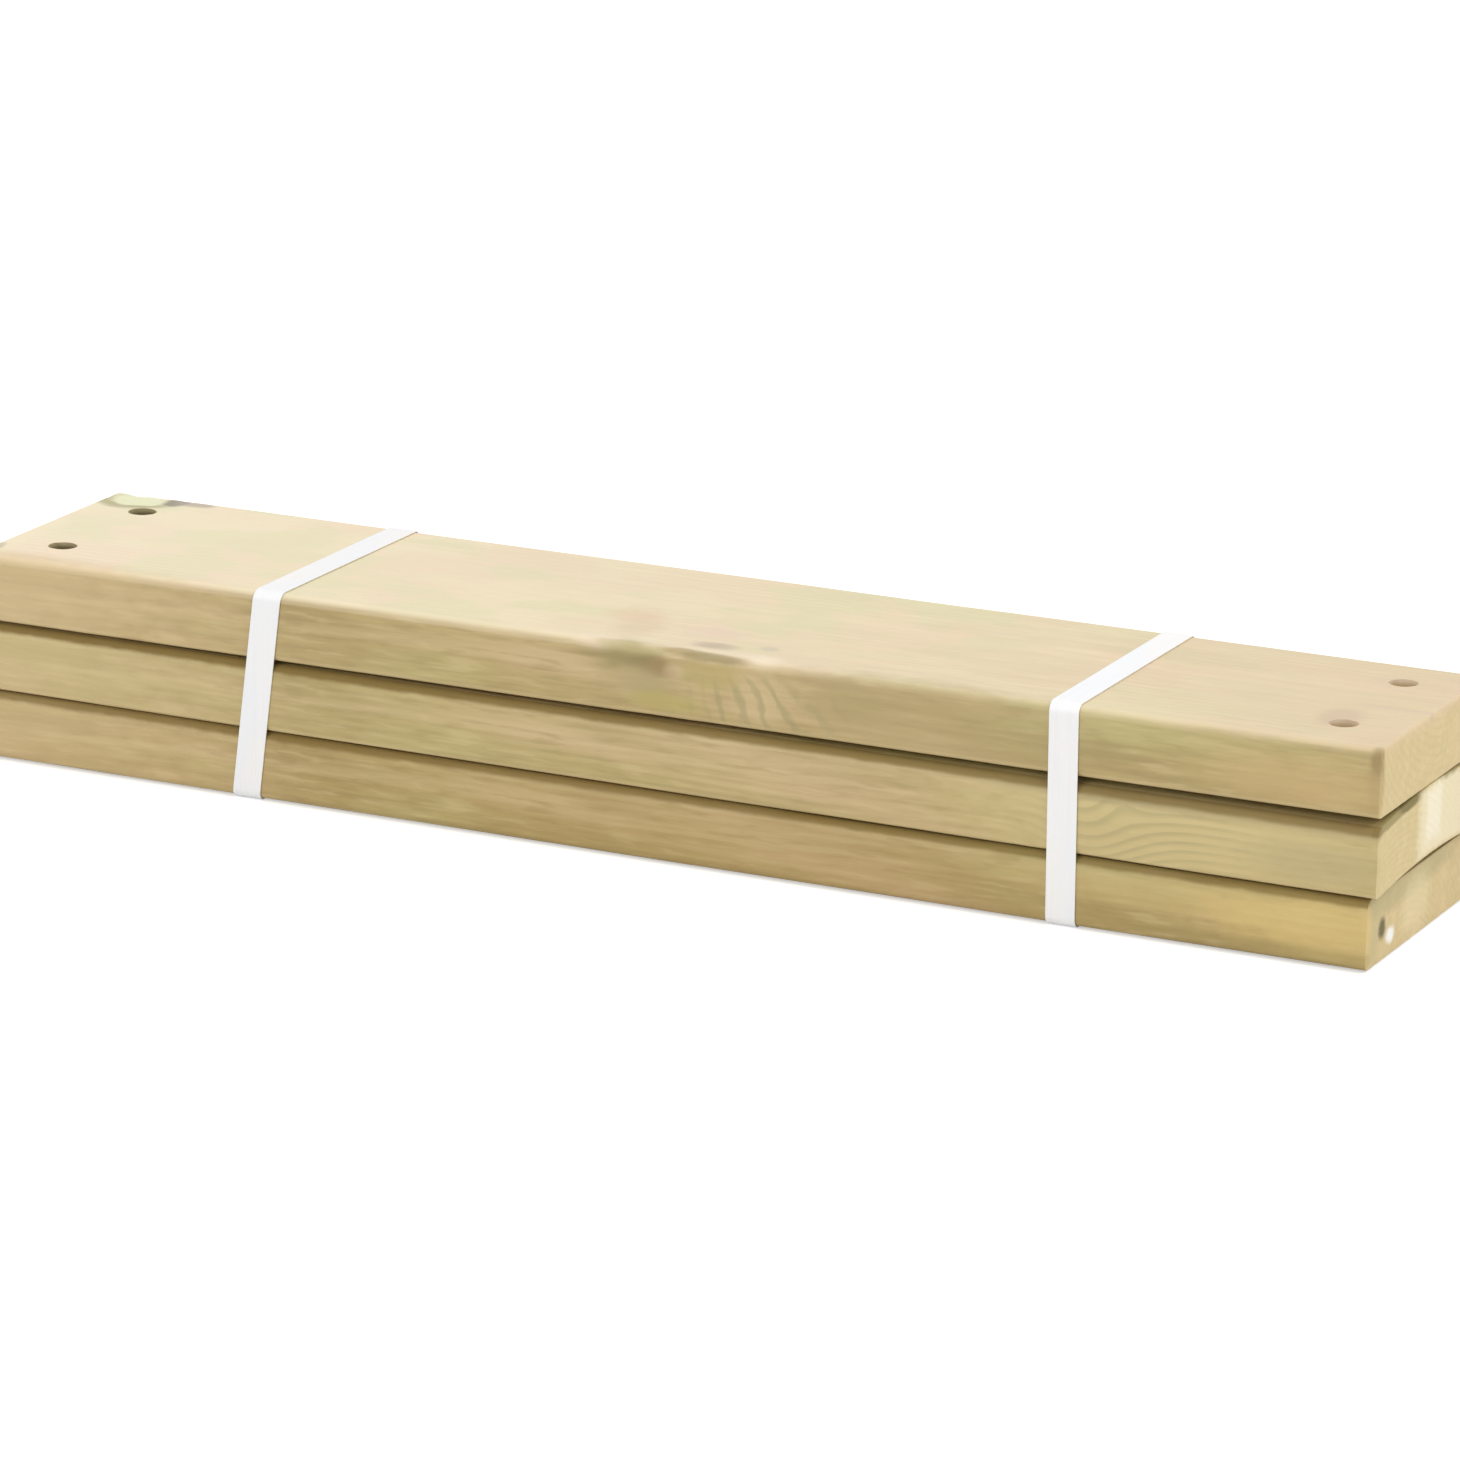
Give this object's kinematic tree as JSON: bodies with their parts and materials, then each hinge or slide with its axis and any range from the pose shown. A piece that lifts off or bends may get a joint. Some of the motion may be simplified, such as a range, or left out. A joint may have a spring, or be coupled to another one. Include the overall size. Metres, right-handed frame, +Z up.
{
  "type": "bundle of pine studs",
  "caption": "Strapped bundle of planed, pressure-treated pine planks, stacked flat, with bolt holes near their ends.",
  "frame": {"origin": "on the floor, below the middle of the bundle's box", "axes": "+X along the planks, +Y from the front of the bundle to its back, +Z up"},
  "size_m": [0.6028, 0.1228, 0.0884],
  "materials": {
    "pine": "planed, pressure-treated pine, pale yellow-green",
    "strap": "embossed white polypropylene strapping"
  },
  "bodies": {
    "root": {"plank_top": "pine", "plank_middle": "pine", "plank_bottom": "pine", "strap_left": "strap", "strap_right": "strap"}
  },
  "joints": []
}
